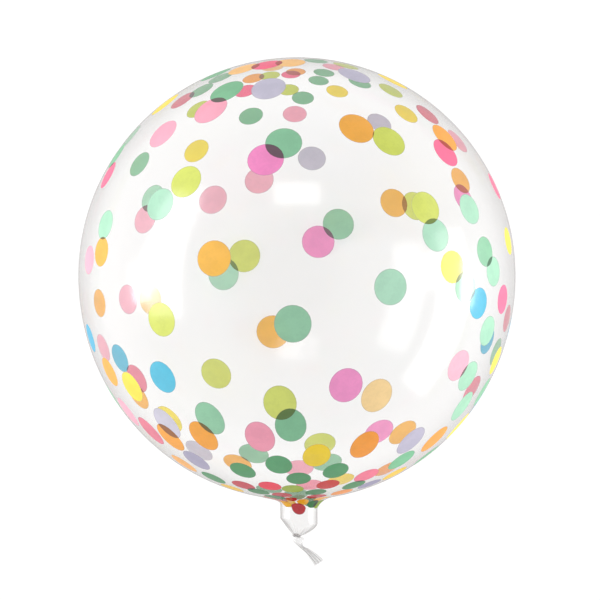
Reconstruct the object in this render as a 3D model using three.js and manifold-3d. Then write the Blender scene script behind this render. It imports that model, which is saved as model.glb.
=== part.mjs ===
// A clear bubble balloon with a tied neck, lying on its side on the small flat spot where its film meets the
// floor. It is one blown piece of film: bubble, neck, gather, knot and tail. The balloon is sealed and full of
// air, so the piece is one solid. Its printed confetti dots are only colour and have no shape here.
//
// Units are millimetres and +Z is up. The balloon's axis runs along Y: the crown is towards +Y and the neck
// towards -Y. The origin is the middle of the flat spot. Distances "along the neck" are measured from the
// bubble's middle towards -Y.
import * as THREE from "three";
import { mergeVertices } from "three/addons/utils/BufferGeometryUtils.js";
import Module from "manifold-3d";

// The bubble: round towards the crown, and a little drawn out towards the neck.
const BUBBLE_RADIUS = 200;
const NECK_SIDE_DEPTH = 205;
const REST_SPOT_RADIUS = 30;

// The neck is a plain tube that flares into the bubble and is gathered into pleats at its tied end. It stands
// slightly off the axis, and its gather slopes: it starts lower on the +X side.
const NECK_RADIUS = 17;
const NECK_OFFSET = 1.8;
const FLARE_RADIUS = 38; // where the flare leaves the bubble
const NECK_START = 212;
const GATHER_START = 224.5;
const GATHER_END = 238;
const GATHER_SLOPE = 0.14;
const TIED_RADIUS = 2.8;
const GATHER_BULGE = 1.7; // 1 is a straight cone, and more is fuller
const PLEATS = 8;
const PLEAT_DEPTH = 0.2; // a share of the radius, at the tied end

// The knot is a short roll of film around the tied end.
const KNOT_LENGTH = 4;
const KNOT_RADIUS = 3.8;

// The tail is the flattened end of the tube. It is folded along its length, fans out and turns to one side.
const TAIL_ROUTE = [
  [0, -240],
  [-1.5, -243.5],
  [3, -248],
  [9.5, -252],
  [15, -257],
  [20, -262],
];
const TAIL_WIDTH_AT_KNOT = 4;
const TAIL_WIDTH_AT_END = 11.5;
const TAIL_THICKNESS = 1; // its few layers of film lie loosely on each other
const TAIL_FOLDS = 1.5; // half waves across each half of the width
const TAIL_FOLD_HEIGHT = 1.2;
const TAIL_TWIST = THREE.MathUtils.degToRad(70);

// How finely the round shapes are divided.
const ROUND_SEGMENTS = 64;
const CROWN_STEPS = 16;
const NECK_SIDE_STEPS = 15;
const FLARE_STEPS = 4;
const GATHER_STEPS = 7;
const KNOT_STEPS = 5;
const TAIL_SEGMENTS = 28;
const TAIL_STEPS = 16;

const REST_HEIGHT = Math.sqrt(BUBBLE_RADIUS ** 2 - REST_SPOT_RADIUS ** 2);

const wasm = await Module();
wasm.setup();

// A closed three.js geometry as a manifold-3d solid.
function toSolid(geometry) {
  const bare = geometry.clone();
  bare.deleteAttribute("normal");
  bare.deleteAttribute("uv");
  const merged = mergeVertices(bare, 1e-3);
  return new wasm.Manifold(
    new wasm.Mesh({
      numProp: 3,
      vertProperties: merged.attributes.position.array,
      triVerts: new Uint32Array(merged.index.array),
    }),
  );
}

// A manifold-3d solid as a three.js geometry with flat-shaded normals.
function toGeometry(solid) {
  const mesh = solid.getMesh();
  const geometry = new THREE.BufferGeometry();
  geometry.setAttribute("position", new THREE.BufferAttribute(mesh.vertProperties, 3));
  geometry.setIndex(new THREE.BufferAttribute(mesh.triVerts, 1));
  const faceted = geometry.toNonIndexed();
  faceted.computeVertexNormals();
  return faceted;
}

// Moves every vertex of a geometry: place(vertex) changes the vector that it is given.
function reshape(geometry, place) {
  const positions = geometry.attributes.position;
  const vertex = new THREE.Vector3();
  for (let i = 0; i < positions.count; i++) {
    vertex.fromBufferAttribute(positions, i);
    place(vertex);
    positions.setXYZ(i, vertex.x, vertex.y, vertex.z);
  }
  return geometry;
}

// How far the gather has closed at a distance along the neck: 0 at its start and 1 where it is tied.
function gathered(along) {
  return THREE.MathUtils.clamp((along - GATHER_START) / (GATHER_END - GATHER_START), 0, 1);
}

function gatherRadius(along) {
  return TIED_RADIUS + (NECK_RADIUS - TIED_RADIUS) * (1 - gathered(along) ** GATHER_BULGE);
}

// The flare leaves the bubble along its slope and meets the neck along its side.
function flareCurve() {
  const leaves = NECK_SIDE_DEPTH * Math.sqrt(1 - (FLARE_RADIUS / BUBBLE_RADIUS) ** 2);
  const slope = (FLARE_RADIUS * NECK_SIDE_DEPTH ** 2) / (leaves * BUBBLE_RADIUS ** 2);
  return new THREE.QuadraticBezierCurve(
    new THREE.Vector2(NECK_RADIUS, -NECK_START),
    new THREE.Vector2(NECK_RADIUS, -leaves - slope * (FLARE_RADIUS - NECK_RADIUS)),
    new THREE.Vector2(FLARE_RADIUS, -leaves),
  );
}

// The half outline of the film from the knot to the crown, as radius and place along the axis.
function filmOutline() {
  const outline = [new THREE.Vector2(0, -GATHER_END - KNOT_LENGTH)];
  for (let i = 1; i < KNOT_STEPS; i++) {
    const turn = (Math.PI * i) / KNOT_STEPS;
    const swell = TIED_RADIUS + (KNOT_RADIUS - TIED_RADIUS) * Math.sin(turn);
    outline.push(new THREE.Vector2(swell, -GATHER_END - KNOT_LENGTH * (1 - i / KNOT_STEPS)));
  }
  for (let i = GATHER_STEPS; i >= 0; i--) {
    const along = THREE.MathUtils.lerp(GATHER_START, GATHER_END, i / GATHER_STEPS);
    outline.push(new THREE.Vector2(gatherRadius(along), -along));
  }
  outline.push(...flareCurve().getPoints(FLARE_STEPS));

  const lastAngle = Math.acos(FLARE_RADIUS / BUBBLE_RADIUS);
  for (let i = NECK_SIDE_STEPS - 1; i > 0; i--) {
    const angle = (lastAngle * i) / NECK_SIDE_STEPS;
    outline.push(new THREE.Vector2(BUBBLE_RADIUS * Math.cos(angle), -NECK_SIDE_DEPTH * Math.sin(angle)));
  }
  for (let i = 0; i < CROWN_STEPS; i++) {
    const angle = ((Math.PI / 2) * i) / CROWN_STEPS;
    outline.push(new THREE.Vector2(BUBBLE_RADIUS * Math.cos(angle), BUBBLE_RADIUS * Math.sin(angle)));
  }
  outline.push(new THREE.Vector2(0, BUBBLE_RADIUS));
  return outline;
}

// Bubble, neck, gather and knot: the outline turned about the axis, with pleats that deepen towards the knot.
function bubbleAndNeck() {
  const turned = new THREE.LatheGeometry(filmOutline(), ROUND_SEGMENTS);
  return reshape(turned, (vertex) => {
    const along = -vertex.y;
    const turn = Math.atan2(vertex.x, vertex.z);
    const pleat = 1 + PLEAT_DEPTH * gathered(along) * Math.cos(PLEATS * turn);
    const inNeck = THREE.MathUtils.smoothstep(along, BUBBLE_RADIUS, NECK_START);
    vertex.x *= pleat;
    vertex.z *= pleat;
    vertex.y -= GATHER_SLOPE * vertex.x * inNeck;
    vertex.x += NECK_OFFSET * inNeck * (1 - gathered(along));
  });
}

// The tail: a round bar pressed flat and folded, then fanned, twisted and laid along its route.
function tail() {
  const route = new THREE.CatmullRomCurve3(TAIL_ROUTE.map(([x, y]) => new THREE.Vector3(x, y, 0)));
  const bar = new THREE.CylinderGeometry(1, 1, 1, TAIL_SEGMENTS, TAIL_STEPS);
  return reshape(bar, (vertex) => {
    const share = THREE.MathUtils.clamp(0.5 - vertex.y, 0, 1);
    const half = THREE.MathUtils.lerp(TAIL_WIDTH_AT_KNOT, TAIL_WIDTH_AT_END, share) / 2;
    const fold = TAIL_FOLD_HEIGHT * Math.sin(Math.PI * TAIL_FOLDS * vertex.x);
    const across = vertex.x * half;
    const off = (vertex.z * TAIL_THICKNESS) / 2 + fold;
    const turn = TAIL_TWIST * (1 - share) ** 2;

    const forward = route.getTangentAt(share);
    const sideways = new THREE.Vector3(-forward.y, forward.x, 0);
    vertex
      .copy(route.getPointAt(share))
      .addScaledVector(sideways, across * Math.cos(turn) - off * Math.sin(turn));
    vertex.z += across * Math.sin(turn) + off * Math.cos(turn);
  });
}

// The floor's side of the rest plane, which presses the flat spot into the bubble.
function belowRestPlane() {
  const size = 3 * BUBBLE_RADIUS;
  return new THREE.BoxGeometry(size, size, size).translate(0, 0, -REST_HEIGHT - size / 2);
}

const film = new THREE.MeshStandardMaterial({
  name: "clear_film",
  color: new THREE.Color(0.93, 0.95, 0.95),
  roughness: 0.06,
  metalness: 0,
  transparent: true,
  opacity: 0.3,
});

const balloon = new THREE.Mesh(
  toGeometry(toSolid(bubbleAndNeck()).add(toSolid(tail())).subtract(toSolid(belowRestPlane()))),
  film,
);
balloon.name = "balloon";
balloon.position.z = REST_HEIGHT;

const model = new THREE.Group();
model.add(balloon);

export default model;
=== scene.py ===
"""A clear bubble balloon with printed confetti dots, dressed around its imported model.

The balloon lies on its side. Its axis runs along Y, with the crown towards +Y and the tied neck towards -Y,
and it rests on a small flat spot at the origin. Places on the film are given as on a globe: the latitude is
+90 degrees at the crown and -90 at the neck, and the longitude is 0 on top, and grows towards +X.
"""

from __future__ import annotations

import logging
import math
from dataclasses import dataclass
from enum import Enum

import bmesh
import bpy
import numpy as np
from mathutils import Matrix, Vector

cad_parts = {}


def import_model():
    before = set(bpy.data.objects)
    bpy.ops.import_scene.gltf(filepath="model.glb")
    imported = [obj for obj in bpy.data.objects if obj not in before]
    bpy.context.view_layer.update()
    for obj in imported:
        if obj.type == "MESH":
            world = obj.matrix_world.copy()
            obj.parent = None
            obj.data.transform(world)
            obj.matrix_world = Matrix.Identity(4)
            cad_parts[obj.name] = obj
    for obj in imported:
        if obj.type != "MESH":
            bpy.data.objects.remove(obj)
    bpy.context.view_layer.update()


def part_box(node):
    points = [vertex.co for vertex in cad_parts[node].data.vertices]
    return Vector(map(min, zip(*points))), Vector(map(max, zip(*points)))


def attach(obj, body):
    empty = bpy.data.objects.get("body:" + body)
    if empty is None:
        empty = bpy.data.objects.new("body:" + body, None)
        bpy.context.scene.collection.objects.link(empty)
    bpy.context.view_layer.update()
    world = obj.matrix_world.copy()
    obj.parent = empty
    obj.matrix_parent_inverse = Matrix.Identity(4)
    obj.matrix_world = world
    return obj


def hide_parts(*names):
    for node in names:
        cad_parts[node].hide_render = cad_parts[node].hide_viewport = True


LOG = logging.getLogger("balloon")
NODE = "balloon"
BODY = "root"
MM = 0.001

# How far inside a dot its ink sets in, and the darker band along its edge.
DOT_SETS_IN = (-0.1 * MM, 0.2 * MM)
DOT_BAND = (0.2 * MM, 0.9 * MM)
BAND_TONE = (0.25, 0.22, 0.24, 1.0)
MOTTLE_TONE = (0.93, 0.935, 0.94, 1.0)
OVERLAP_TONE = (0.55, 0.42, 0.48, 1.0)

Place = tuple[int, int]


# ---------------------------------------------------------------- the print


class Ink(Enum):
    """The printing inks, as screen colours from 0 to 255 where the film is stretched the most."""

    GREEN = (144, 204, 165)
    MINT = (172, 224, 193)
    LIME = (216, 226, 100)
    YELLOW = (252, 232, 75)
    ORANGE = (252, 186, 68)
    PEACH = (253, 214, 146)
    PINK = (253, 184, 203)
    HOT_PINK = (252, 118, 160)
    ROSE = (236, 128, 152)
    MAGENTA = (252, 144, 204)
    RED = (236, 70, 84)
    LAVENDER = (210, 206, 222)
    BLUE = (78, 190, 222)

    @property
    def albedo(self) -> np.ndarray:
        """The ink's colour as scene-linear values."""
        screen = np.array(self.value) / 255.0
        return np.where(screen <= 0.04045, screen / 12.92, ((screen + 0.055) / 1.055) ** 2.4)


# Where the dots of each ink are printed, as latitude and longitude in degrees.
DOTS: dict[Ink, tuple[Place, ...]] = {
    Ink.GREEN: (
        (55, -33), (66, -65), (67, -115), (58, 177), (50, -160), (72, 156), (67, 165), (65, 136),
        (60, -117), (32, -119), (33, -77), (35, -4), (15, 168), (-3, 48), (6, 57), (-12, -1), (-40, -2),
        (-38, -29), (-33, -84), (-58, -27), (-55, -159), (-55, -8), (-62, 1), (-59, 164), (-58, 19),
        (-75, -150), (-63, -56), (-72, -34), (-78, -29), (-79, 180), (-72, 16), (-20, 101), (-31, 79),
        (-53, 78), (-67, 41), (-83, 40), (83, 134), (-83, 150),
    ),
    Ink.MINT: (
        (22, -132), (18, -39), (36, -171), (17, 53), (10, 38), (1, -159), (13, -61), (-3, 24), (1, 61),
        (-26, 58), (-35, 65), (-14, 61), (-54, 53), (40, -94),
    ),
    Ink.LIME: (
        (52, -131), (62, -175), (70, -158), (76, 111), (60, 119), (24, -32), (36, 30), (20, 143), (17, 36),
        (6, -165), (-11, -37), (-33, -5), (-69, -3), (-27, -154), (-51, 170), (-83, 62),
    ),
    Ink.YELLOW: (
        (61, 157), (62, 68), (50, 127), (51, -72), (37, -143), (9, 75), (2, 43), (-29, -57), (-51, 8),
        (-70, -59), (-22, 76), (-42, 80), (-61, 66), (-41, -127), (-68, 147), (-82, 12), (-84, -39),
        (-80, 43), (-84, 210),
    ),
    Ink.ORANGE: (
        (68, -147), (73, -179), (40, 20), (38, 57), (27, 120), (21, 150), (4, -21), (6, -61), (-7, -111),
        (-15, -173), (-25, -68), (-33, -117), (-44, -35), (-45, -53), (-59, -147), (-47, 26), (-46, 134),
        (-46, 63), (-61, 120), (-82, -110),
    ),
    Ink.PEACH: (
        (69, -42), (74, -6), (76, -152), (-6, -135), (-56, -66), (-73, 44), (-31, 24),
    ),
    Ink.PINK: (
        (47, -34), (51, -179), (76, 135), (39, -50), (16, -131), (22, -154), (28, -168), (39, 106), (4, -69),
        (-6, -126), (-19, -107), (-44, -13), (-37, -73), (-62, 179), (-23, 51), (-61, 40), (-72, 169),
    ),
    Ink.HOT_PINK: (
        (61, -150), (71, -175), (72, -26), (27, -73), (33, 52), (24, 79), (-6, 68), (-67, -18), (-83, 230),
    ),
    Ink.ROSE: (
        (49, 112), (55, -112), (-28, -121), (-43, -64), (-67, -38), (-31, 108), (-11, 98), (-75, -15),
        (-77, 23), (-85, -1),
    ),
    Ink.MAGENTA: (
        (30, -9), (22, 122), (10, 174), (-28, 14), (-46, 146),
    ),
    Ink.RED: (
        (-66, 20), (-80, -10),
    ),
    Ink.LAVENDER: (
        (56, -13), (64, 36), (35, 175), (47, 145), (-40, -49), (-54, -50), (-46, 47), (-67, 57), (-53, -130),
        (79, -70),
    ),
    Ink.BLUE: (
        (-7, 54), (-16, -76), (-22, -116), (-26, -41), (-17, 111), (-13, 87), (-34, 87),
    ),
}


@dataclass(frozen=True)
class Dot:
    """One printed dot, as it lies on the round bubble."""

    centre: np.ndarray
    east: np.ndarray
    north: np.ndarray
    half_width: float
    half_length: float
    albedo: np.ndarray

    def inside(self, directions: np.ndarray) -> np.ndarray:
        """How far inside the dot each direction from the bubble's middle lies: an angle, below 0 outside."""
        across = directions @ self.east / self.half_width
        along = directions @ self.north / self.half_length
        depth = (1 - np.hypot(across, along)) * self.half_width
        return np.where(directions @ self.centre > 0, depth, -math.pi)


@dataclass(frozen=True)
class PrintedDots:
    """The confetti print: every dot was printed at one size, and stretched with the film round it.

    The film is stretched least around a spot near the crown and one near the neck, and less towards its two
    sides, so dots are smaller there. Elsewhere the top's dots are drawn out along the balloon. The ink is
    deeper where the film is thicker: towards the crown, around the neck, and most of all on the neck itself.
    """

    radius: float
    largest: float = 32.5 * MM
    least_share: float = 0.55
    least_stretched: tuple[Place, ...] = ((70, 180), (-78, 0))
    reach: float = math.radians(65)
    stretch_rise: float = 1.3
    side_shrink: float = 0.23
    crown_drawn: float = 0.2
    crown_drawn_from: float = math.radians(33)
    crown_drawn_over: float = math.radians(19)
    neck_drawn: float = 0.4
    neck_drawn_at: float = math.radians(-44)
    neck_drawn_over: float = math.radians(14)
    neck_latitude: float = math.radians(-79)
    neck_share: float = 0.68
    least_depth: float = 0.92
    neck_deepening: float = 1.9
    neck_reach: float = math.radians(42)
    neck_rise: float = 0.8
    crown_deepening: float = 0.3
    crown_deep_from: float = math.radians(20)
    crown_deep_over: float = math.radians(25)
    tube_deepening: float = 1.0
    clearance: float = math.radians(2.2)

    def dots(self) -> list[Dot]:
        """Every dot of the print."""
        made = []
        for ink, places in DOTS.items():
            for place in places:
                latitude, longitude = (math.radians(angle) for angle in place)
                centre = direction(latitude, longitude)
                from_crown, from_neck = self.away_from_spots(centre)
                stretch = self.stretch(latitude, min(from_crown, from_neck))
                stretch *= 1 - self.side_shrink * centre[0] ** 2
                width = self.largest * stretch / (2 * self.radius)
                length = width * self.drawn_out(latitude, longitude)
                east = np.array([math.cos(longitude), 0.0, -math.sin(longitude)])
                tone = ink.albedo ** self.depth(latitude, from_neck)
                made.append(Dot(centre, east, np.cross(centre, east), width, length, tone))
        return made

    def away_from_spots(self, centre: np.ndarray) -> list[float]:
        """How far a dot's centre is from each of the least stretched spots, as angles."""
        spots = [direction(*(math.radians(angle) for angle in spot)) for spot in self.least_stretched]
        return [math.acos(max(-1.0, min(1.0, float(centre @ spot)))) for spot in spots]

    def stretch(self, latitude: float, away: float) -> float:
        """How wide a dot is, as a share of the largest, by its distance from the nearer spot."""
        share = 1 - (1 - self.least_share) * (1 - min(away / self.reach, 1)) ** self.stretch_rise
        return share * self.neck_share if latitude < self.neck_latitude else share

    def depth(self, latitude: float, away_from_neck: float) -> float:
        """How deep the ink is: the power to which its colour is raised."""
        depth = self.least_depth
        depth += self.crown_deepening * climb(latitude, self.crown_deep_from, self.crown_deep_over)
        if latitude < self.neck_latitude:
            depth += self.tube_deepening
        return depth + self.neck_deepening * (1 - min(away_from_neck / self.neck_reach, 1)) ** self.neck_rise

    def drawn_out(self, latitude: float, longitude: float) -> float:
        """How many times longer than wide a dot is, where the film is drawn out to the neck or the crown."""
        to_neck = self.neck_drawn * math.exp(-(((latitude - self.neck_drawn_at) / self.neck_drawn_over) ** 2))
        to_crown = self.crown_drawn * climb(latitude, self.crown_drawn_from, self.crown_drawn_over)
        return 1 + (to_neck + to_crown) * (1 + math.cos(longitude)) / 2

    def layers(self) -> list[list[Dot]]:
        """The dots sorted into as few layers as keep the dots of one layer clear of each other."""
        layers: list[list[Dot]] = []
        for dot in self.dots():
            for layer in layers:
                if all(self.apart(dot, other) for other in layer):
                    layer.append(dot)
                    break
            else:
                layers.append([dot])
        return layers

    def apart(self, one: Dot, other: Dot) -> bool:
        """Whether two dots stay clear of each other."""
        between = math.acos(max(-1.0, min(1.0, float(one.centre @ other.centre))))
        return between > one.half_length + other.half_length + self.clearance

    def print_on(self, mesh: bpy.types.Mesh, directions: np.ndarray) -> int:
        """Store the print on a mesh: for each layer, how far each point lies inside a dot, and its ink.

        Args:
            mesh: the film's mesh.
            directions: for each point, the direction from the bubble's middle before the film was shaped.

        Returns:
            The number of layers.
        """
        layers = self.layers()
        for number, layer in enumerate(layers, start=1):
            inside = np.full(len(directions), -math.pi)
            colour = np.ones((len(directions), 4))
            for dot in layer:
                here = dot.inside(directions)
                nearer = here > inside
                inside[nearer] = here[nearer]
                colour[nearer, :3] = dot.albedo
            depth = mesh.attributes.new(f"dot_depth_{number}", "FLOAT", "POINT")
            depth.data.foreach_set("value", inside * self.radius)
            tone = mesh.attributes.new(f"dot_ink_{number}", "FLOAT_COLOR", "POINT")
            tone.data.foreach_set("color", colour.ravel())
        return len(layers)


def direction(latitude: float, longitude: float) -> np.ndarray:
    """The unit direction of a place on the bubble, from its middle."""
    return np.array(
        [
            math.cos(latitude) * math.sin(longitude),
            math.sin(latitude),
            math.cos(latitude) * math.cos(longitude),
        ]
    )


def climb(value: float, start: float, over: float) -> float:
    """A straight climb from 0 at the start to 1 past it."""
    return min(max((value - start) / over, 0.0), 1.0)


# ---------------------------------------------------------------- node helpers


class NodeSheet:
    """A node tree with short calls to add nodes and link them."""

    def __init__(self, tree: bpy.types.NodeTree) -> None:
        """Take over an empty node tree."""
        self.tree = tree

    def add(self, kind: str, settings: dict | None = None, **inputs: object) -> bpy.types.Node:
        """Add a node.

        Args:
            kind: the node's type.
            settings: properties of the node itself.
            inputs: values or sockets for its inputs, by name with _ for a space, or by number as in_0.

        Returns:
            The new node.
        """
        node = self.tree.nodes.new(kind)
        for name, value in (settings or {}).items():
            setattr(node, name, value)
        for name, value in inputs.items():
            key = int(name[3:]) if name.startswith("in_") else name.replace("_", " ")
            self.feed(node.inputs[key], value)
        return node

    def feed(self, socket: bpy.types.NodeSocket, value: object) -> None:
        """Link a socket to another, or give it a plain value."""
        if isinstance(value, bpy.types.NodeSocket):
            self.tree.links.new(value, socket)
        else:
            socket.default_value = value

    def math(self, operation: str, *values: object, clamp: bool = False) -> bpy.types.NodeSocket:
        """The result of a math node."""
        inputs = {f"in_{i}": value for i, value in enumerate(values)}
        return self.add("ShaderNodeMath", {"operation": operation, "use_clamp": clamp}, **inputs).outputs[0]

    def ramp(self, value: object, low: float, high: float, to: tuple[float, float] = (0.0, 1.0)) -> object:
        """A smooth step from to[0] at low to to[1] at high."""
        node = self.add("ShaderNodeMapRange", {"interpolation_type": "SMOOTHSTEP"}, Value=value)
        for name, bound in zip(("From Min", "From Max", "To Min", "To Max"), (low, high, *to)):
            node.inputs[name].default_value = bound
        return node.outputs["Result"]

    def mix(self, factor: object, first: object, second: object, blend: str = "MIX") -> bpy.types.NodeSocket:
        """A colour mix."""
        node = self.add("ShaderNodeMix", {"data_type": "RGBA", "blend_type": blend})
        for index, value in ((0, factor), (6, first), (7, second)):
            self.feed(node.inputs[index], value)
        return node.outputs[2]


def new_group(
    name: str, takes: dict[str, str], gives: dict[str, str]
) -> tuple[bpy.types.NodeTree, NodeSheet]:
    """Start a shader node group.

    Args:
        name: the group's name.
        takes: its inputs, as name and socket type.
        gives: its outputs, as name and socket type.

    Returns:
        The group and a sheet to fill it with.
    """
    group = bpy.data.node_groups.new(name, "ShaderNodeTree")
    for sockets, way in ((takes, "INPUT"), (gives, "OUTPUT")):
        for socket, kind in sockets.items():
            group.interface.new_socket(socket, in_out=way, socket_type=kind)
    return group, NodeSheet(group)


def confetti_group(layers: int) -> bpy.types.NodeTree:
    """A group that reads the print: the ink's colour, and how much of the film it covers.

    Args:
        layers: the number of layers that the print has.

    Returns:
        The group, with outputs Ink and Cover.
    """
    group, sheet = new_group(
        "confetti print",
        {"Edge Tone": "NodeSocketFloat"},
        {"Ink": "NodeSocketColor", "Cover": "NodeSocketFloat"},
    )
    given = sheet.add("NodeGroupInput").outputs["Edge Tone"]
    ink: object = (1.0, 1.0, 1.0, 1.0)
    cover: object = 0.0
    for number in range(1, layers + 1):
        depth = sheet.add("ShaderNodeAttribute", {"attribute_name": f"dot_depth_{number}"}).outputs["Fac"]
        colour = sheet.add("ShaderNodeAttribute", {"attribute_name": f"dot_ink_{number}"}).outputs["Color"]
        dot = sheet.ramp(depth, *DOT_SETS_IN)
        edge = sheet.ramp(depth, *DOT_BAND, (1.0, 0.0))
        darker = sheet.mix(sheet.math("MULTIPLY", edge, given), colour, BAND_TONE)
        laid_over = sheet.mix(cover, darker, sheet.mix(1.0, darker, OVERLAP_TONE, "MULTIPLY"))
        ink = sheet.mix(dot, ink, sheet.mix(1.0, ink, laid_over, "MULTIPLY"))
        cover = sheet.math("MAXIMUM", cover, dot)
    mottled = sheet.mix(mottle(sheet), ink, sheet.mix(1.0, ink, MOTTLE_TONE, "MULTIPLY"))
    sheet.add("NodeGroupOutput", Ink=mottled, Cover=cover)
    return group


def mottle(sheet: NodeSheet) -> bpy.types.NodeSocket:
    """The uneven lay of the ink: soft clouds with a fine grain in them."""
    place = sheet.add("ShaderNodeTexCoord").outputs["Object"]
    clouds = sheet.add("ShaderNodeTexNoise", Vector=place, Scale=70.0, Detail=2.0).outputs["Fac"]
    grain = sheet.add("ShaderNodeTexNoise", Vector=place, Scale=420.0, Detail=3.0).outputs["Fac"]
    both = sheet.math("ADD", sheet.math("MULTIPLY", clouds, 0.65), sheet.math("MULTIPLY", grain, 0.35))
    return sheet.ramp(both, 0.4, 0.62)


def ripple_group() -> bpy.types.NodeTree:
    """A group that gives the film's normal, with the faint long ripples and small creases of blown film."""
    group, sheet = new_group(
        "film ripple",
        {"Ripple": "NodeSocketFloat", "Crease": "NodeSocketFloat"},
        {"Normal": "NodeSocketVector"},
    )
    given = sheet.add("NodeGroupInput").outputs
    place = sheet.add("ShaderNodeTexCoord").outputs["Object"]
    long_waves = sheet.add("ShaderNodeTexNoise", Vector=place, Scale=14.0, Detail=1.0).outputs["Fac"]
    stretched = sheet.add("ShaderNodeMapping", Vector=place, Scale=(1.0, 0.2, 1.0)).outputs[0]
    fine = sheet.add("ShaderNodeTexNoise", Vector=stretched, Scale=160.0, Detail=2.0).outputs["Fac"]
    ripples = sheet.math("MULTIPLY", long_waves, given["Ripple"])
    creases = sheet.math("MULTIPLY", fine, given["Crease"])
    height = sheet.math("ADD", ripples, creases)
    bump = sheet.add("ShaderNodeBump", Height=height, Strength=1.0, Distance=1.0)
    sheet.add("NodeGroupOutput", Normal=bump.outputs[0])
    return group


# ---------------------------------------------------------------- finishes


@dataclass(frozen=True)
class FilmFinish:
    """Thin clear plastic film, with or without a print.

    The film is see-through but for a faint grey veil of haze. The veil is denser where the film turns away
    from the eye, and where the film is thick; on thick film its grey is partly painted shade, which darkens
    the neck, the
    tail and the knot where their folds and edges would be shaded. The thin darker line at the rim is painted
    shade:
    a grey line laid along the outline. Ink that turns away is seen through more of itself, and looks deeper.
    Each turn gives where such a change starts and ends: 0 is film that faces the eye, and 1 is film seen
    edge-on.
    """

    name: str
    straight_on: float = 0.055
    grazing: float = 0.28
    mirror_rise: float = 4.0
    roughness: float = 0.15
    ripple: float = 0.0004
    crease: float = 0.0
    veil: tuple[float, float, float, float] = (0.3, 0.28, 0.28, 1.0)
    thin_veil: tuple[float, float] = (0.05, 0.34)
    thin_turn: tuple[float, float] = (0.5, 1.0)
    # The grey veil of thick film: partly its haze, partly painted shade of its folds and edges.
    thick_veil_and_painted_shade: tuple[float, float] = (0.06, 0.65)
    thick_turn: tuple[float, float] = (0.3, 0.95)
    # A thin grey line of painted shade along the rim, where the film is seen edge-on.
    painted_rim_shade: tuple[float, float] = (0.0, 0.25)
    painted_rim_turn: tuple[float, float] = (0.87, 0.97)
    deeper_ink: tuple[float, float] = (0.0, 0.45)
    deeper_turn: tuple[float, float] = (0.25, 0.95)
    ink_cover: float = 0.98
    ink_roughness: float = 0.4
    edge_tone: float = 0.35

    def material(self, layers: int = 0) -> bpy.types.Material:
        """Make the material.

        Args:
            layers: the number of layers of the print on the film, or 0 for bare thick film.

        Returns:
            The material.
        """
        material = bpy.data.materials.new(self.name)
        material.use_nodes = True
        material.node_tree.nodes.clear()
        sheet = NodeSheet(material.node_tree)
        group = {"node_tree": ripple_group()}
        rippled = sheet.add("ShaderNodeGroup", group, Ripple=self.ripple, Crease=self.crease)
        normal = rippled.outputs["Normal"]
        facing = sheet.add("ShaderNodeLayerWeight", Blend=0.5, Normal=normal).outputs["Facing"]
        turned = sheet.math("POWER", facing, self.mirror_rise)
        mirrored = sheet.math("MULTIPLY_ADD", turned, self.grazing - self.straight_on, self.straight_on)
        # The grey veil of thick film, denser as the film turns away: partly haze, partly painted shade.
        veil = sheet.ramp(facing, *self.thick_turn, self.thick_veil_and_painted_shade)
        body = sheet.add("ShaderNodeBsdfPrincipled", Roughness=self.ink_roughness, Normal=normal)
        body.inputs["Specular IOR Level"].default_value = 0.0
        if layers:
            self.print_over(sheet, body, facing, veil, layers)
        else:
            body.inputs["Base Color"].default_value = self.veil
            sheet.feed(body.inputs["Alpha"], veil)
        white = (1, 1, 1, 1)
        mirror = sheet.add("ShaderNodeBsdfGlossy", Color=white, Roughness=self.roughness, Normal=normal)
        shaders = {"in_1": body.outputs[0], "in_2": mirror.outputs[0]}
        surface = sheet.add("ShaderNodeMixShader", in_0=mirrored, **shaders)
        sheet.add("ShaderNodeOutputMaterial", Surface=surface.outputs[0])
        return material

    def print_over(
        self,
        sheet: NodeSheet,
        body: bpy.types.Node,
        facing: bpy.types.NodeSocket,
        thick: bpy.types.NodeSocket,
        layers: int,
    ) -> None:
        """Thin the veil where the film is thin, and lay the print over it.

        Args:
            sheet: the material's sheet.
            body: the film's shader.
            facing: how far the film turns away from the eye.
            thick: the veil of thick film, partly its haze and partly painted shade.
            layers: the number of layers of the print.
        """
        # The rim line is painted shade: a grey band laid along the outline, where the film turns edge-on.
        rim = sheet.ramp(facing, *self.painted_rim_turn, self.painted_rim_shade)
        thin = sheet.math("ADD", sheet.ramp(facing, *self.thin_turn, self.thin_veil), rim)
        thickness = sheet.add("ShaderNodeAttribute", {"attribute_name": "thickness"}).outputs["Fac"]
        veil = sheet.math("MULTIPLY_ADD", sheet.math("SUBTRACT", thick, thin), thickness, thin)
        group = {"node_tree": confetti_group(layers)}
        confetti = sheet.add("ShaderNodeGroup", group, Edge_Tone=self.edge_tone)
        cover = confetti.outputs["Cover"]
        inked = sheet.math("MULTIPLY", cover, self.ink_cover)
        ink = confetti.outputs["Ink"]
        turned_away = sheet.ramp(facing, *self.deeper_turn, self.deeper_ink)
        ink = sheet.mix(turned_away, ink, sheet.mix(1.0, ink, ink, "MULTIPLY"))
        sheet.feed(body.inputs["Base Color"], sheet.mix(cover, self.veil, ink))
        sheet.feed(body.inputs["Alpha"], sheet.math("MAXIMUM", veil, inked))


@dataclass(frozen=True)
class FloorFinish:
    """A pale floor, lit from below like a light table."""

    colour: tuple[float, float, float] = (0.45, 0.45, 0.45)
    glow: float = 0.6

    def material(self) -> bpy.types.Material:
        """Make the material."""
        material = bpy.data.materials.new("pale floor")
        material.use_nodes = True
        material.node_tree.nodes.clear()
        sheet = NodeSheet(material.node_tree)
        shader = sheet.add(
            "ShaderNodeBsdfPrincipled",
            Base_Color=(*self.colour, 1.0),
            Roughness=0.7,
            Emission_Color=(1.0, 1.0, 1.0, 1.0),
            Emission_Strength=self.glow,
        )
        shader.inputs["Specular IOR Level"].default_value = 0.0
        sheet.add("ShaderNodeOutputMaterial", Surface=shader.outputs[0])
        return material


# ---------------------------------------------------------------- the balloon


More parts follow.
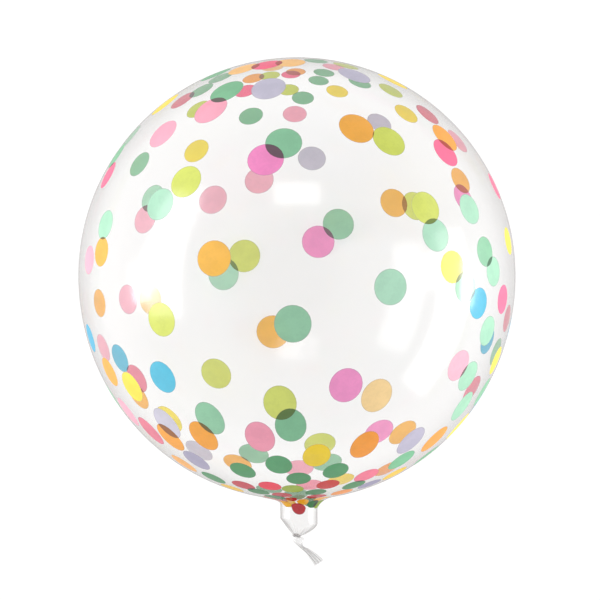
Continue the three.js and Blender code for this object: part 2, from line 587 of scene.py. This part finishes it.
@dataclass(frozen=True)
class FilmForm:
    """The shape of the blown film: bubble, flare, neck and gather."""

    radius: float
    centre_height: float
    neck_side_depth: float = 205 * MM
    flare_latitude: float = math.radians(-79)
    neck_radius: float = 17 * MM
    neck_offset: float = 1.8 * MM
    offset_from: float = 0.1
    offset_over: float = 0.5
    neck_start: float = 212 * MM
    gather_start: float = 224.5 * MM
    gather_end: float = 238 * MM
    gather_slope: float = 0.14
    gather_bulge: float = 1.35
    bulge_lean: float = 0.35
    tied_radius: float = 2.6 * MM
    flare_share: float = 0.62
    tube_share: float = 0.84
    closing_share: float = 0.97
    pleats: int = 7
    pleat_depth: float = 0.3
    pleat_rise: float = 1.8

    def neck_outline(self, share: np.ndarray, longitude: np.ndarray) -> tuple[np.ndarray, np.ndarray]:
        """The neck's radius and its distance from the bubble's middle, for shares of the way down it.

        The gather is fuller on the +X side.
        """
        flare_radius = self.radius * math.cos(self.flare_latitude)
        leaves = -self.neck_side_depth * math.sin(self.flare_latitude)
        slope = flare_radius * self.neck_side_depth**2 / (leaves * self.radius**2)
        corner = leaves + slope * (flare_radius - self.neck_radius)
        way = np.clip(share / self.flare_share, 0, 1)
        radius = (1 - way) ** 2 * flare_radius + (1 - (1 - way) ** 2) * self.neck_radius
        along = (1 - way) ** 2 * leaves + 2 * way * (1 - way) * corner + way**2 * self.neck_start

        down = np.clip((share - self.flare_share) / (self.tube_share - self.flare_share), 0, 1)
        along = along + down * (self.gather_start - self.neck_start)

        closed = self.gathered(share)
        bulge = self.gather_bulge + self.bulge_lean * np.sin(longitude)
        radius = radius - (self.neck_radius - self.tied_radius) * closed**bulge
        along = along + closed * (self.gather_end - self.gather_start)

        end = np.clip((share - self.closing_share) / (1 - self.closing_share), 0, 1)
        return radius * np.sqrt(1 - end**2), along + end * self.tied_radius / 2

    def neck_share(self, latitude: np.ndarray) -> np.ndarray:
        """How far down the neck each latitude lies: 0 where it leaves the bubble, 1 at the tied end."""
        return np.clip((self.flare_latitude - latitude) / (self.flare_latitude + math.pi / 2), 0, 1)

    def gathered(self, share: np.ndarray) -> np.ndarray:
        """How far the gather has closed, from 0 to 1."""
        return np.clip((share - self.tube_share) / (self.closing_share - self.tube_share), 0, 1)

    def place(self, latitude: np.ndarray, longitude: np.ndarray) -> np.ndarray:
        """Where places on the bubble end up in the blown film.

        Args:
            latitude: latitudes in radians.
            longitude: longitudes in radians.

        Returns:
            One row of three coordinates for each place.
        """
        depth = np.where(latitude > 0, self.radius, self.neck_side_depth)
        radius = self.radius * np.cos(latitude)
        along = -depth * np.sin(latitude)

        share = self.neck_share(latitude)
        in_neck = latitude < self.flare_latitude
        neck_radius, neck_along = self.neck_outline(share, longitude)
        closed = np.where(in_neck, self.gathered(share), 0.0)
        radius = np.where(in_neck, neck_radius, radius) * self.pleat(longitude, closed)
        along = np.where(in_neck, neck_along, along)

        offset = np.clip((share - self.offset_from) / self.offset_over, 0, 1)
        offset = offset**2 * (3 - 2 * offset)
        x = radius * np.sin(longitude)
        z = radius * np.cos(longitude)
        y = -along - self.gather_slope * x * offset
        x = x + self.neck_offset * offset * (1 - closed)
        points = np.stack([x, y, z + self.centre_height], axis=1)
        points[:, 2] = np.maximum(points[:, 2], 0.0)
        return points

    def pleat(self, longitude: np.ndarray, closed: np.ndarray) -> np.ndarray:
        """The share by which the gather's pleats move the film in or out."""
        sharp = np.abs(np.sin(self.pleats * longitude / 2 + 0.4)) - 0.6
        small = 0.35 * np.sin(17 * longitude + 1.0) + 0.25 * np.sin(5 * longitude + 2.0)
        return 1 + self.pleat_depth * closed**self.pleat_rise * (sharp + 0.5 * small)


@dataclass
class BubbleFilm:
    """The bubble and its neck: one closed skin of printed film."""

    form: FilmForm
    dots: PrintedDots
    finish: FilmFinish
    turns: int = 320
    bubble_rings: int = 150
    neck_rings: int = 84

    def build(self) -> bpy.types.Object:
        """Spin the film, print it while it is still a round bubble, and blow it into its shape.

        Returns:
            The finished piece.
        """
        sphere = bmesh.new()
        outline = [sphere.verts.new(direction(latitude, 0.0)) for latitude in self.stations()]
        edges = [sphere.edges.new(pair) for pair in zip(outline, outline[1:])]
        bmesh.ops.spin(
            sphere,
            geom=[*outline, *edges],
            cent=(0, 0, 0),
            axis=(0, 1, 0),
            angle=2 * math.pi,
            steps=self.turns,
            use_merge=True,
        )
        bmesh.ops.remove_doubles(sphere, verts=sphere.verts, dist=1e-6)
        bmesh.ops.recalc_face_normals(sphere, faces=sphere.faces)
        mesh = bpy.data.meshes.new("bubble film")
        sphere.to_mesh(mesh)
        sphere.free()

        round_places = np.empty(3 * len(mesh.vertices))
        mesh.vertices.foreach_get("co", round_places)
        directions = round_places.reshape(-1, 3)
        layers = self.dots.print_on(mesh, directions)
        latitude = np.arcsin(np.clip(directions[:, 1], -1, 1))
        longitude = np.arctan2(directions[:, 0], directions[:, 2])
        mesh.vertices.foreach_set("co", self.form.place(latitude, longitude).ravel())
        thickness = mesh.attributes.new("thickness", "FLOAT", "POINT")
        thickness.data.foreach_set("value", self.form.neck_share(latitude))
        mesh.shade_smooth()
        mesh.materials.append(self.finish.material(layers))
        return piece("bubble_film", mesh)

    def stations(self) -> list[float]:
        """The latitudes of the film's rings, closer together in the neck."""
        top = math.pi / 2
        bubble = np.linspace(top, self.form.flare_latitude, self.bubble_rings, endpoint=False)
        neck = np.linspace(self.form.flare_latitude, -top, self.neck_rings)
        return [*bubble, *neck]


@dataclass
class KnotRoll:
    """The roll of film that ties the gather shut."""

    finish: FilmFinish
    along: float
    height: float
    sideways: float = -0.3 * MM
    ring_radius: float = 2.1 * MM
    roll_radius: float = 1.3 * MM
    tilt: float = math.radians(-9)
    lean: float = 0.35 * MM
    turns: int = 72
    sides: int = 14

    def build(self) -> bpy.types.Object:
        """Spin a circle around the tied end, and pinch it into uneven creases.

        Returns:
            The finished piece.
        """
        roll = bmesh.new()
        stand = Matrix.Translation((self.ring_radius, 0, 0))
        made = bmesh.ops.create_circle(roll, segments=self.sides, radius=self.roll_radius, matrix=stand)
        bmesh.ops.spin(
            roll,
            geom=[*made["verts"], *roll.edges],
            cent=(0, 0, 0),
            axis=(0, 1, 0),
            angle=2 * math.pi,
            steps=self.turns,
            use_merge=True,
        )
        bmesh.ops.remove_doubles(roll, verts=roll.verts, dist=1e-7)
        bmesh.ops.recalc_face_normals(roll, faces=roll.faces)
        lay = Matrix.Translation((self.sideways, -self.along, self.height))
        lay = lay @ Matrix.Rotation(self.tilt, 4, "Z")
        for vertex in roll.verts:
            vertex.co = lay @ self.creased(vertex.co)
        mesh = bpy.data.meshes.new("knot roll")
        roll.to_mesh(mesh)
        roll.free()
        mesh.shade_smooth()
        mesh.materials.append(self.finish.material())
        return piece("knot_film", mesh)

    def creased(self, place: Vector) -> Vector:
        """Where the creases move a point of the smooth roll."""
        turn = math.atan2(place.x, place.z)
        swell = 1 + 0.16 * math.sin(7 * turn + 0.6) + 0.1 * math.sin(13 * turn + 2.0)
        lean = self.lean * math.sin(2 * turn + 1.0)
        return Vector((place.x * swell, place.y * (0.9 + 0.25 * math.sin(5 * turn)) + lean, place.z * swell))


@dataclass
class TailFilm:
    """The flattened end of the neck behind the knot: folded along its length, twisted once and fanned out."""

    finish: FilmFinish
    height: float
    left_edge: tuple[tuple[float, float], ...] = (
        (-1.2, -239.0), (-2.6, -241.4), (-3.1, -243.6), (0.4, -246.9), (4.1, -250.2), (8.0, -253.5),
        (11.5, -258.2), (14.6, -262.8), (16.6, -265.7),
    )
    right_edge: tuple[tuple[float, float], ...] = (
        (1.9, -239.2), (5.8, -239.9), (5.7, -243.0), (5.2, -245.6), (6.2, -247.9), (11.0, -250.3),
        (16.3, -253.8), (21.4, -257.9), (24.0, -260.6),
    )
    thickness: float = 0.7 * MM
    edge_roll: float = 1.2
    fold_height: float = 1.5 * MM
    flat_share: float = 0.25
    pleated_from: float = 0.3
    pleated_over: float = 0.3
    cut_from: float = 0.93
    cut_over: float = 0.07
    cut_depth: float = 0.5 * MM
    sides: int = 96
    steps: int = 72

    def build(self) -> bpy.types.Object:
        """Roll a grid into a flat tube, and lay it between the tail's two edges.

        Returns:
            The finished piece.
        """
        tail = bmesh.new()
        bmesh.ops.create_grid(tail, x_segments=self.sides, y_segments=self.steps, size=0.5)
        for vertex in tail.verts:
            around = 2 * math.pi * (vertex.co.x + 0.5)
            vertex.co = self.laid(math.cos(around), math.sin(around), vertex.co.y + 0.5)
        bmesh.ops.remove_doubles(tail, verts=tail.verts, dist=1e-8)
        bmesh.ops.recalc_face_normals(tail, faces=tail.faces)
        mesh = bpy.data.meshes.new("tail film")
        tail.to_mesh(mesh)
        tail.free()
        mesh.shade_smooth()
        mesh.materials.append(self.finish.material())
        return piece("tail_film", mesh)

    def laid(self, across: float, over: float, share: float) -> Vector:
        """Where a point of the tail lies.

        Args:
            across: from -1 at the left edge to 1 at the right edge.
            over: from -1 on the underside to 1 on top.
            share: from 0 at the knot to 1 at the cut end.

        Returns:
            The point.
        """
        left = along_edge(self.left_edge, share)
        right = along_edge(self.right_edge, share)
        flat = left.lerp(right, (across + 1) / 2)
        pleated = self.flat_share + (1 - self.flat_share) * climb(share, self.pleated_from, self.pleated_over)
        wave = math.sin(2.6 * math.pi * across + 0.8 + 0.9 * share)
        wave += 0.4 * math.sin(6.2 * math.pi * across + 2.0)
        thickness = self.thickness * (1 + self.edge_roll * abs(across) ** 6)
        height = self.fold_height * pleated * wave + over * thickness / 2
        uneven = self.cut_depth * math.sin(9 * across + 1.0) * max(share - self.cut_from, 0.0) / self.cut_over
        return Vector((flat.x, flat.y + max(uneven, 0.0), self.height + height))


def along_edge(edge: tuple[tuple[float, float], ...], share: float) -> Vector:
    """The point a share of the way along an edge: a smooth curve through its points, given in millimetres."""
    last = len(edge) - 1
    place = share * last
    first = min(int(place), last - 1)
    part = place - first
    before, start, end, after = (Vector(edge[min(max(first + step, 0), last)]) for step in (-1, 0, 1, 2))
    bend = start * 2 + (end - before) * part
    bend += (before * 2 - start * 5 + end * 4 - after) * part**2
    bend += (start * 3 - before - end * 3 + after) * part**3
    return bend * (MM / 2)


def piece(name: str, mesh: bpy.types.Mesh) -> bpy.types.Object:
    """Put a finished mesh in the scene, as a piece that stands for the balloon's solid."""
    new = bpy.data.objects.new(name, mesh)
    bpy.context.scene.collection.objects.link(new)
    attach(new, BODY)
    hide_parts(NODE)
    return new


# ---------------------------------------------------------------- the studio


@dataclass(frozen=True)
class Softbox:
    """A soft light: where it stands as seen from the bubble, its size and its brightness."""

    name: str
    from_top: float
    towards: float
    distance: float
    width: float
    height: float
    brightness: float

    def build(self, aim: Vector) -> None:
        """Hang the light and turn it to the bubble."""
        tilt = math.radians(self.from_top)
        side = math.radians(self.towards)
        way = Vector((math.sin(tilt) * math.sin(side), math.sin(tilt) * math.cos(side), math.cos(tilt)))
        light = bpy.data.lights.new(self.name, "AREA")
        light.shape = "RECTANGLE"
        light.size = self.width
        light.size_y = self.height
        light.energy = self.brightness * math.pi * self.width * self.height
        lamp = bpy.data.objects.new(self.name, light)
        lamp.location = aim + way * self.distance
        lamp.rotation_euler = way.to_track_quat("Z", "Y").to_euler()
        bpy.context.scene.collection.objects.link(lamp)


@dataclass(frozen=True)
class Studio:
    """The floor, the lights and the camera."""

    middle: Vector
    floor_size: float = 8.0
    floor_gap: float = 0.3 * MM
    surroundings: float = 0.7
    view_width: float = 0.55
    view_distance: float = 3.17
    view_aim: tuple[float, float] = (2.8 * MM, -22 * MM)
    softboxes: tuple[Softbox, ...] = (
        Softbox("top softbox", 40, 0, 1.5, 0.55, 0.3, 3.5),
        Softbox("right softbox", 84, 103, 1.3, 1.5, 0.5, 3.0),
        Softbox("right window", 96, 92, 1.3, 0.35, 0.35, 12.0),
        Softbox("left softbox", 68, -80, 1.3, 1.2, 0.5, 3.0),
        Softbox("left window", 83, -93, 1.3, 0.3, 0.3, 10.0),
    )

    def build(self) -> None:
        """Set everything up."""
        self.lay_floor()
        for softbox in self.softboxes:
            softbox.build(self.middle)
        scene = bpy.context.scene
        world = bpy.data.worlds.new("studio")
        world.use_nodes = True
        background = world.node_tree.nodes["Background"]
        background.inputs["Color"].default_value = (1.0, 1.0, 1.0, 1.0)
        background.inputs["Strength"].default_value = self.surroundings
        scene.world = world
        scene.view_settings.view_transform = "Standard"
        self.set_camera()

    def lay_floor(self) -> None:
        """Lay the floor just under the balloon."""
        grid = bmesh.new()
        sunk = Matrix.Translation((0, 0, -self.floor_gap))
        bmesh.ops.create_grid(grid, x_segments=1, y_segments=1, size=self.floor_size / 2, matrix=sunk)
        mesh = bpy.data.meshes.new("floor")
        grid.to_mesh(mesh)
        grid.free()
        mesh.materials.append(FloorFinish().material())
        floor = bpy.data.objects.new("floor", mesh)
        bpy.context.scene.collection.objects.link(floor)

    def set_camera(self) -> None:
        """Look straight down on the lying balloon, from far enough away for a long lens."""
        data = bpy.data.cameras.new("camera")
        data.lens = data.sensor_width * self.view_distance / self.view_width
        data.clip_end = 50.0
        camera = bpy.data.objects.new("camera", data)
        camera.location = (*self.view_aim, self.middle.z + self.view_distance)
        bpy.context.scene.collection.objects.link(camera)
        bpy.context.scene.camera = camera


def main() -> None:
    """Build the balloon and its studio."""
    logging.basicConfig(level=logging.INFO, format="%(name)s: %(message)s")
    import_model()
    low, high = (Vector(corner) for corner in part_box(NODE))
    radius = (high.x - low.x) / 2
    form = FilmForm(radius=radius, centre_height=high.z - radius)
    # The tail's dense grey veil is partly painted shade of its folds.
    tied = FilmFinish("tied film", crease=0.0012, roughness=0.2, thick_veil_and_painted_shade=(0.09, 0.85))
    # The knot's dense grey veil is painted shade: it darkens the roll where its folds would be shaded.
    knotted = FilmFinish("knotted film", crease=0.0016, roughness=0.25, thick_veil_and_painted_shade=(0.25, 0.95))
    makers = (
        BubbleFilm(form, PrintedDots(radius), FilmFinish("printed film")),
        KnotRoll(knotted, form.gather_end - 0.2 * MM, form.centre_height),
        TailFilm(tied, form.centre_height),
    )
    for maker in makers:
        made = maker.build()
        LOG.info("%s has %d faces", made.name, len(made.data.polygons))
    Studio(Vector((0, 0, form.centre_height))).build()


if __name__ == "__main__":
    main()
